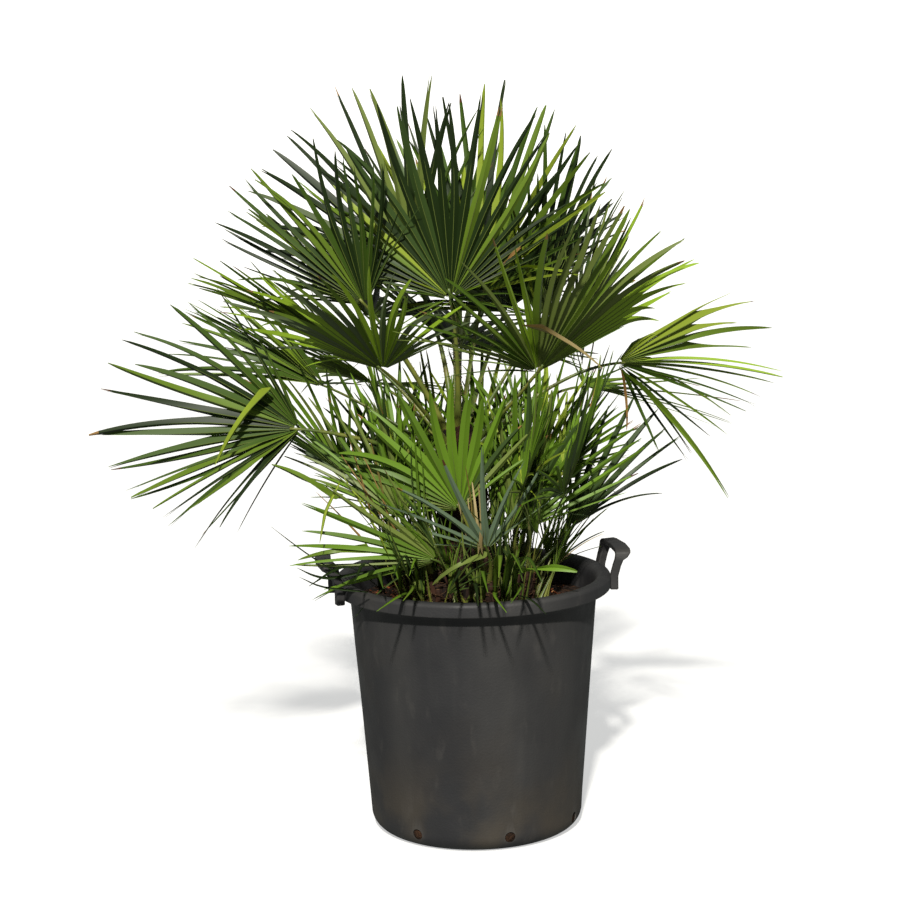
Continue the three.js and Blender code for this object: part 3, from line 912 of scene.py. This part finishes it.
def addLeaflet(lists, frond, angle, step, joins, length, style):
    # One V-folded leaflet: pleated and joined to its neighbours near the hub, free beyond. Upper
    # and lower skins meet at the margins, and a rib runs under the fold.
    start = frond.reach * leafletLook["start"]
    low, high = min(joins), max(joins)
    rows = np.unique(np.concatenate([
        np.linspace(start, low, 4), [high], lerp(high, length, np.linspace(0.1, 1, 11) ** 0.9),
    ]))
    free = np.clip((rows - low) / (length - low), 0, 1)
    bent = length * free ** 2
    centre = frond.points(angle, rows, style["swerve"] * bent, style["lift"] * bent)
    centre[:, 2] -= style["droop"] * bent
    along = unit(np.gradient(centre, axis=0))
    normal = unit(frond.face - along * (along @ frond.face)[:, None])
    side = np.cross(along, normal)
    roll = (radians(style["roll"]) * free ** 1.2)[:, None]
    side, normal = (side * np.cos(roll) + normal * np.sin(roll),
                    normal * np.cos(roll) - side * np.sin(roll))
    slope = radians(style["pleat"])
    pitch = tan(step / 2)
    flat = np.minimum(rows, low) * pitch / cos(slope)
    slim = lerp(1, style["slim"], np.clip(free * 5, 0, 1))
    taper = (1 - style["narrow"] * free ** style["power"]) * (1 - 0.2 * free) * slim
    half = np.maximum(flat * taper, 0.6) * np.where(free < 1, 1, style["point"])
    fold = lerp(slope, radians(style["tipPleat"]), free)
    wide, deep = (half * np.cos(fold))[:, None], (half * np.sin(fold))[:, None]
    rib = centre - normal * deep / 2
    split = np.clip((free - style["splitAt"]) / max(1 - style["splitAt"], 0.01), 0, 1)[:, None]
    skins = [np.where(free[:-1] > style["brownAt"], style["brown"], style[skin]).tolist()
             for skin in ("upper", "lower")]
    for sign, join in ((-1, joins[0]), (1, joins[1])):
        margin = centre + normal * deep / 2 + side * wide * sign
        shared = frond.points(angle + sign * step / 2, rows, 0, rows * pitch * tan(slope) / 2)
        joined = rows <= join + 1e-6
        last = np.nonzero(joined)[0][-1]
        fade = np.clip((rows - rows[last]) / max(0.5 * (length - rows[last]), 1), 0, 1)
        offset = (shared[last] - margin[last]) * ((1 - fade) ** 2)[:, None]
        margin = np.where(joined[:, None], shared, margin + offset)
        apart = side * sign * split * style["splitWide"]
        spine, margin = rib + apart, margin + apart
        middle = (margin + spine) / 2 + normal * np.minimum(half, 9)[:, None] * 0.07
        thick = normal * np.minimum(half * 0.12, 0.8)[:, None]
        upper = np.stack([margin, middle, spine], axis=1) * mm
        lower = np.stack([margin, middle - thick * 0.7, spine - thick], axis=1) * mm
        lists.addGrid(upper, skins[0], flipped=sign < 0)
        lists.addGrid(lower, skins[1], flipped=sign > 0)
    addRib(lists, rib, side, normal, free, np.minimum(style["rib"], rows * pitch * 0.22))


def addRib(lists, rib, side, normal, free, radius):
    kept = free < leafletLook["ribEnd"]
    radius = (radius[kept] * np.linspace(1, 0.25, int(kept.sum())))[:, None]
    spine, aside, out = rib[kept], side[kept] * radius, normal[kept] * radius
    ring = [spine + aside - out * 0.2, spine - out * 0.1, spine - aside - out * 0.2, spine - out * 1.7]
    lists.addGrid(np.stack(ring, axis=1) * mm, leafSlot["rib"], closed=True)


def leafletStyle(look, random, share):
    isWeb = isWithin(look, "web", share)
    free = leafletLook["webFree"] if isWeb else 1
    isTorn = random() < leafletLook["torn"]
    isDry = random() < leafletLook["dry"]
    style = dict(
        swerve=look["swerve"] * random(-1, 1) * free,
        lift=look["lift"] * random(-1, 1) * free,
        droop=look["droop"] * random() ** 2 * 2.5 * (0.5 + abs(share)),
        roll=look["roll"] * random(-1, 1) * free,
        pleat=look["pleat"], tipPleat=look["tipPleat"] + random(-16, 16),
        power=random(2.4, 5.0), slim=random(*look["slim"]),
        narrow=random(0.55, 0.84), point=random(0.2, 0.7),
        splitAt=random(0.84, 0.95) if isTorn else 1.0,
        splitWide=random(1.0, 2.6) if isTorn else 0.0,
        brownAt=random(0.9, 0.985) if isDry else 1.1,
        upper=pick(random, look["tones"]), lower=pick(random, look["under"]),
        brown=pick(random, dict(dry=3, brown=2)), rib=look["rib"],
    )
    if isWeb:
        style.update(power=random(1.0, 1.7), narrow=random(0.84, 0.94))
    if isWeb and random() < leafletLook["webTinted"]:
        style["upper"] = style["lower"] = leafSlot[look["webTone"]]
    if isWithin(look, "thin", share):
        style.update(slim=1.5 * style["slim"], droop=random(0.02, 0.16))
    if random() < leafletLook["withered"]:
        style.update(brownAt=random(0.5, 0.8), brown=leafSlot["dry"])
    return style


def addFan(lists, frond, random):
    look, half, reach = frond.look, frond.half, frond.reach
    count = max(3, round(2 * half / radians(look["step"])))
    step = 2 * half / count
    joins = []
    for i in range(count + 1):
        share = (-half + step * i) / half
        join = look["join"] * (1 - bladeShape["joinFall"] * share ** 2) * random(0.8, 1.15)
        if isWithin(look, "web", share):
            join = random(0.52, 0.64) * (1 - look["shrink"] * abs(share) ** 2.5)
        if isWithin(look, "thin", share):
            join *= leafletLook["thinJoin"]
        joins.append(reach * join)
    for i in range(count):
        angle = -half + step * (i + 0.5)
        share = angle / half
        length = reach * (1 - look["shrink"] * abs(share) ** 2.5)
        length *= random(0.92, 1.03) * look.get("long", 1)
        if random() < leafletLook["short"]:
            length *= random(0.72, 0.9)
        style = leafletStyle(look, random, share)
        joined = joins[i:i + 2]
        chance, limit = leafletLook["thinBroken" if isWithin(look, "thin", share) else "broken"]
        isBroken = random() < chance and max(joined) < reach * limit
        if isBroken or isWithin(look, "bare", share):
            length = max(joined) * random(1.03, 1.2)
        addLeaflet(lists, frond, angle, step, joined, max(length, max(joined) * 1.02), style)


stalkLook = {
    "green": tone(72, 90, 34), "yellow": tone(114, 118, 50), "stain": tone(96, 74, 40), "steps": 26,
    "toothEvery": 9, "toothLong": (0.13, 0.3),
    "section": [(-0.5, 0.1), (-0.3, 0.24), (0, 0.16), (0.3, 0.24), (0.5, 0.1), (0.34, -0.24),
                (0, -0.4), (-0.34, -0.24)],
}


def makeStalkMaterial():
    stalk = Surface("leafStalk", stalkLook["green"], Roughness=0.42, Specular_IOR_Level=0.45)
    stalk.lay(stalkLook["yellow"], stalk.patches(18.0, 0.4, 0.65, tall=0.4))
    stalk.lay(stalkLook["stain"], stalk.patches(55.0, 0.62, 0.72, detail=3.0), 0.6)
    return stalk.finishRelief(stalk.patches(120.0, 0.3, 0.7, tall=0.1), 0.3, 0.0006)


def stalkCurve(frond, chord):
    bend = frond.hub - frond.along * 0.35 * chord
    end = frond.hub + frond.along * frond.reach * 0.05
    t = np.linspace(0, 1, stalkLook["steps"])[:, None]
    centre = frond.foot * (1 - t) ** 2 + bend * 2 * t * (1 - t) + end * t ** 2
    ahead = unit(np.gradient(centre, axis=0))
    side = unit(frond.across - ahead * (ahead @ frond.across)[:, None])
    return t, centre, ahead, side, np.cross(side, ahead)


def addStalk(lists, frond, random):
    # A leaf stalk: flat and grooved above, keeled below, broad at the foot, with toothed edges.
    chord = np.linalg.norm(frond.foot - frond.hub)
    t, centre, ahead, side, top = stalkCurve(frond, chord)
    broad = frond.look["stalkWide"]
    wide = lerp(broad, broad * 0.5, t) * (1 + 0.9 * (1 - t) ** 6)
    ring = [centre + side * wide * a + top * wide * b for a, b in stalkLook["section"]]
    lists.addTube(np.stack(ring, axis=1) * mm, 0)
    teeth = int(chord / stalkLook["toothEvery"])
    for sign in (-1, 1):
        for i in range(teeth):
            at = (i + 0.2 + 0.6 * random()) / teeth * 0.86 + 0.05
            low = int(at * (len(t) - 1))
            base = lerp(centre[low], centre[low + 1], at * (len(t) - 1) - low)
            size = random(*stalkLook["toothLong"]) * broad * (1.2 - 0.6 * at)
            foot = base + side[low] * sign * wide[low] * 0.47 + top[low] * wide[low] * 0.1
            tip = foot + side[low] * sign * size + ahead[low] * size * 0.8
            edge, thick = ahead[low] * size * 0.35, top[low] * 0.7
            ring = np.array([foot - edge, foot + thick, foot + edge, foot - thick])
            lists.addGrid(np.stack([ring, ring * 0.04 + tip * 0.96]) * mm, 1, closed=True)


# Young leaves that stand round the feet of the stems, and single leaflets that lie across others.
sucker = {"perStem": 13, "trunk": 16, "reach": (110, 250), "stalk": (20, 190), "spread": (9, 34)}
# Single leaflets that the photo shows: both ends, width, bend and colour.
strays = [
    ((-384, -150, 931), (-517, -138, 798), 14, 0.12, "lime"),
    ((94, -266, 1055), (233, -150, 997), 10, 0.2, "straw"),
    ((86, -280, 1163), (207, -285, 1161), 7, 0.05, "lime"),
    ((67, -280, 1175), (100, -280, 1204), 7, 0.0, "dry"),
    ((296, -80, 950), (318, -85, 830), 6, 0.1, "dry"),
    ((9, -200, 599), (-4, -200, 749), 8, 0.05, "straw"),
    ((18, -200, 599), (27, -200, 753), 8, -0.04, "straw"),
    ((99, -230, 576), (199, -235, 590), 15, 0.1, "bright"),
    ((-197, -190, 607), (-343, -195, 612), 13, 0.06, "fresh"),
    ((-268, -160, 708), (-388, -165, 793), 17, 0.1, "fresh"),
    ((288, -60, 950), (521, -65, 719), 11, 0.08, "fresh"),
    ((26, -200, 597), (-85, -205, 563), 13, 0.2, "underPale"),
    ((248, 60, 1143), (316, 60, 1302), 6, 0.05, "underDeep"),
    ((196, 60, 1082), (333, 60, 1278), 6, -0.05, "underGrey"),
]
# Loose leaflets that spring in groups. Lift and reach run from the first value to the second
# through a group, and the other pairs are limits.
looseGroups = dict(
    leftUpper=dict(
        count=10, start=(-298, 75, 901), scatter=4, heading=(176, 190), lift=(3, 54),
        reach=(375, 240), wide=(9, 12), tones=dict(mid=4, deep=4, fresh=3),
    ),
    rightDroop=dict(
        count=7, start=(297, -20, 949), scatter=3, heading=(-6, 0), lift=(-8, -70),
        reach=(300, 190), wide=(4, 8), tones=dict(mid=3, deep=3, fresh=2),
    ),
    leftDroop=dict(
        count=5, start=(-335, -118, 841), scatter=3, heading=(180, 184), lift=(-18, -48),
        reach=(405, 230), wide=(6, 13), tones=dict(mid=2, deep=2, fresh=2),
    ),
    topFoot=dict(
        count=11, start=(-35, -104, 1089), scatter=6, heading=(150, 390), lift=(-32, 24),
        reach=(230, 120), wide=(3, 5.5), tones=dict(mid=3, fresh=3, lime=1, deep=2),
    ),
    upperFoot=dict(
        count=10, start=(138, 56, 1034), scatter=5, heading=(165, 262), lift=(-25, 34),
        reach=(215, 120), wide=(3, 5), tones=dict(mid=3, deep=3, fresh=1),
    ),
    frontFoot=dict(
        count=7, start=(131, -152, 953), scatter=4, heading=(165, 250), lift=(2, 40),
        reach=(200, 130), wide=(3.5, 5), tones=dict(mid=3, fresh=2),
    ),
    dryLeft=dict(
        count=7, start=(-172, -172, 618), scatter=32, heading=(176, 200), lift=(44, 84),
        reach=(150, 240), wide=(3.5, 5), tones=dict(straw=4, tan=3, dry=1, lime=1),
    ),
    dryMiddle=dict(
        count=3, start=(-2, -168, 618), scatter=14, heading=(0, 360), lift=(78, 88),
        reach=(150, 175), wide=(4, 5.5), tones=dict(straw=1, tan=1),
    ),
)
rimLeaflets = dict(
    count=19, along=(-190, 92), start=150, rise=(30, 116), lean=(0.9, 1.8), stray=16, reach=422,
    wide=(7, 13), tones=dict(young=3, bright=2, mid=4, fresh=2, deep=4),
)
# Leaflets that bend out low at the left handle: path, width and colour.
strips = [
    (((-246, -170, 550), (-326, -178, 607), (-392, -185, 662)), 4.5, "deep"),
    (((-255, -205, 751), (-281, -215, 701), (-289, -220, 672), (-296, -225, 636)), 7, "lime"),
    (((-194, -190, 573), (-272, -202, 562), (-308, -209, 568), (-342, -215, 586)), 9, "deep"),
    (((-206, -215, 535), (-291, -220, 548), (-338, -225, 570)), 6, "deep"),
]


def addStrip(lists, path, wide, slot):
    # A narrow blade along a smooth curve through the path, folded along its middle.
    path = np.array(path, float)
    ends = np.concatenate([2 * path[:1] - path[1:2], path, 2 * path[-1:] - path[-2:-1]])
    curve = []
    for a, b, c, d in zip(ends, ends[1:], ends[2:], ends[3:]):
        for t in (0, 0.25, 0.5, 0.75):
            curve.append(0.5 * (2 * b + (c - a) * t + (2 * a - 5 * b + 4 * c - d) * t ** 2
                                + (3 * b - a - 3 * c + d) * t ** 3))
    curve = np.array(curve + [path[-1]])
    along = unit(np.gradient(curve, axis=0))
    across = unit(np.cross(along, (0.1, -0.5, 0.86)))
    normal = np.cross(across, along)
    share = np.linspace(0, 1, len(curve))[:, None]
    half = wide / 2 * np.minimum(1, 0.4 + share * 3) * (1 - 0.9 * share ** 3)
    fold = curve - normal * half * 0.4
    ring = [curve - across * half, fold, curve + across * half, fold + normal * 0.7]
    lists.addTube(np.stack(ring, axis=1) * mm, slot, flipped=True)


def addRimLeaflets(lists, random):
    # They rise from the compost and lean out over the front of the rim.
    look = rimLeaflets
    for _ in range(look["count"]):
        x, rise, lean = random(*look["along"]), random(*look["rise"]), random(*look["lean"])
        path = []
        for share, height in ((0, 0), (0.33, 0.8), (0.68, 1.12), (1, random(0.8, 1.0))):
            y = -lerp(look["start"], look["reach"], share) + 0.0022 * x * x * (1 + share)
            aside = look["stray"] * share * random(-1, 1)
            path.append((x * lerp(1, lean, share) + aside, y, soil["top"] + 30 + rise * height))
        addStrip(lists, path, random(*look["wide"]), pick(random, look["tones"]))


def addStray(lists, random, start, end, wide, bend, slot):
    start, end = np.array(start, float), np.array(end, float)
    length = np.linalg.norm(end - start)
    x, y, z = (end - start) / length
    aim = (degrees(atan2(y, x)), degrees(asin(z)), 70)
    frond = Frond(fanLook["offset"], start, aim, length, 5)
    style = leafletStyle(frond.look, random, 0)
    style.update(swerve=bend, upper=slot, lower=slot, brownAt=0.95, droop=0.03)
    join = length * 0.22
    addLeaflet(lists, frond, 0.0, 2 * atan(wide / 2 / join), (join, join), length, style)


def addLoose(lists, random, group):
    for i in range(group["count"]):
        share = (i + random(0.2, 0.8)) / group["count"]
        shift = np.array([random(-1, 1) for _ in range(3)]) * group["scatter"]
        start = np.array(group["start"], float) + shift
        way = direction(random(*group["heading"]), lerp(*group["lift"], share))
        end = start + way * lerp(*group["reach"], share) * random(0.92, 1.06)
        wide, bend = random(*group["wide"]), random(-0.06, 0.06)
        addStray(lists, random, start, end, wide, bend, pick(random, group["tones"]))


def makeYoungLeaves(nodes):
    random = makeRandom(seeds["young"])
    leaves, stalks = MeshLists(), MeshLists()
    places = [(trunk["foot"], 66)] * sucker["trunk"]
    for stem in offsetStems.values():
        places += [(stem["foot"], stem["radius"] * 1.3)] * sucker["perStem"]
    for place, radius in places:
        turned = 360 * random()
        heading, lift = turned + random(-25, 25), random(52, 84)
        foot = np.array([*place, soil["top"] - 4.0]) + direction(turned, 0) * radius * random(1.0, 1.9)
        hub = foot + direction(heading, lift) * random(*sucker["stalk"])
        aim = (heading, lift + random(-12, 8), random(-80, 80))
        frond = Frond(fanLook["sucker"], hub, aim, random(*sucker["reach"]), random(*sucker["spread"]),
                      foot)
        addFan(leaves, frond, random)
        addStalk(stalks, frond, random)
    for *stray, name in strays:
        addStray(leaves, random, *stray, leafSlot[name])
    for group in looseGroups.values():
        addLoose(leaves, random, group)
    for path, wide, name in strips:
        addStrip(leaves, path, wide, leafSlot[name])
    addRimLeaflets(leaves, random)
    makePiece("youngLeaves", leaves, leafMaterials, nodes)
    makePiece("youngStalks", stalks, stalkMaterials, nodes)


def makeFronds():
    stalks = {"crown": MeshLists(), "offset": MeshLists()}
    nodes = {"crown": [], "offset": []}
    random = makeRandom(seeds["stalks"])
    for index, frond in enumerate(frondList()):
        node = f"frond_{frond.name}"
        fan = MeshLists()
        addFan(fan, frond, makeRandom(seeds["fans"] + index))
        makePiece(f"fan_{frond.name}", fan, leafMaterials, [node])
        addStalk(stalks[frond.kind], frond, random)
        nodes[frond.kind].append(node)
    for kind, lists in stalks.items():
        makePiece(f"{kind}Stalks", lists, stalkMaterials, nodes[kind])
    makeYoungLeaves(nodes["offset"])


stalkMaterials = [makeStalkMaterial(), leafMaterials[leafSlot["straw"]]]
makeFronds()
print("fronds made")


# Floor, light and background

stageLook = {
    "floor": tone(190, 190, 190), "glow": 0.52, "flat": 9.0, "round": 5.0, "sides": 96,
    "sky": (0.96, 1.0, 0.95, 1.0), "skyStrength": 0.25, "sun": 4.9, "sunAngle": 2.8,
    "sunColour": (1.0, 0.97, 0.9), "sunFrom": (-5, 39),
}


def makeFloor():
    flat, bowl = stageLook["flat"], stageLook["round"]
    profile = [(0.01, 0), (flat * 0.5, 0), (flat, 0)]
    for a in range(10, 91, 10):
        profile.append((flat + bowl * sin(radians(a)), bowl * (1 - cos(radians(a)))))
    lists = MeshLists()
    lists.addGrid(np.array([
        [around(radius, a, z) for a in turnSteps(stageLook["sides"])] for radius, z in profile
    ]), 0, closed=True)
    # It glows a little, so that shadows on it stay pale, and throws no light back on the plant.
    material = newMaterial(
        "paleFloor", Base_Color=stageLook["floor"], Roughness=0.9, Specular_IOR_Level=0.1,
        Emission_Color=(1.0, 1.0, 1.0, 1.0), Emission_Strength=stageLook["glow"],
    )
    floor = addObject("floor", makeMesh("floor", lists, [material]))
    floor.visible_diffuse = False
    floor.visible_glossy = False


def makeLights():
    world = bpy.data.worlds.new("studio")
    world.use_nodes = True
    background = world.node_tree.nodes["Background"]
    background.inputs["Color"].default_value = stageLook["sky"]
    background.inputs["Strength"].default_value = stageLook["skyStrength"]
    bpy.context.scene.world = world
    sun = bpy.data.lights.new("key", "SUN")
    sun.energy = stageLook["sun"]
    sun.angle = radians(stageLook["sunAngle"])
    sun.color = stageLook["sunColour"]
    key = addObject("key", sun)
    right, height = (radians(v) for v in stageLook["sunFrom"])
    towards = Vector((sin(right) * cos(height), -cos(right) * cos(height),
                      sin(height)))
    key.rotation_mode = "QUATERNION"
    key.rotation_quaternion = towards.to_track_quat("Z", "Y")
    bpy.context.scene.view_settings.view_transform = "Standard"


makeFloor()
makeLights()
print("stage made")
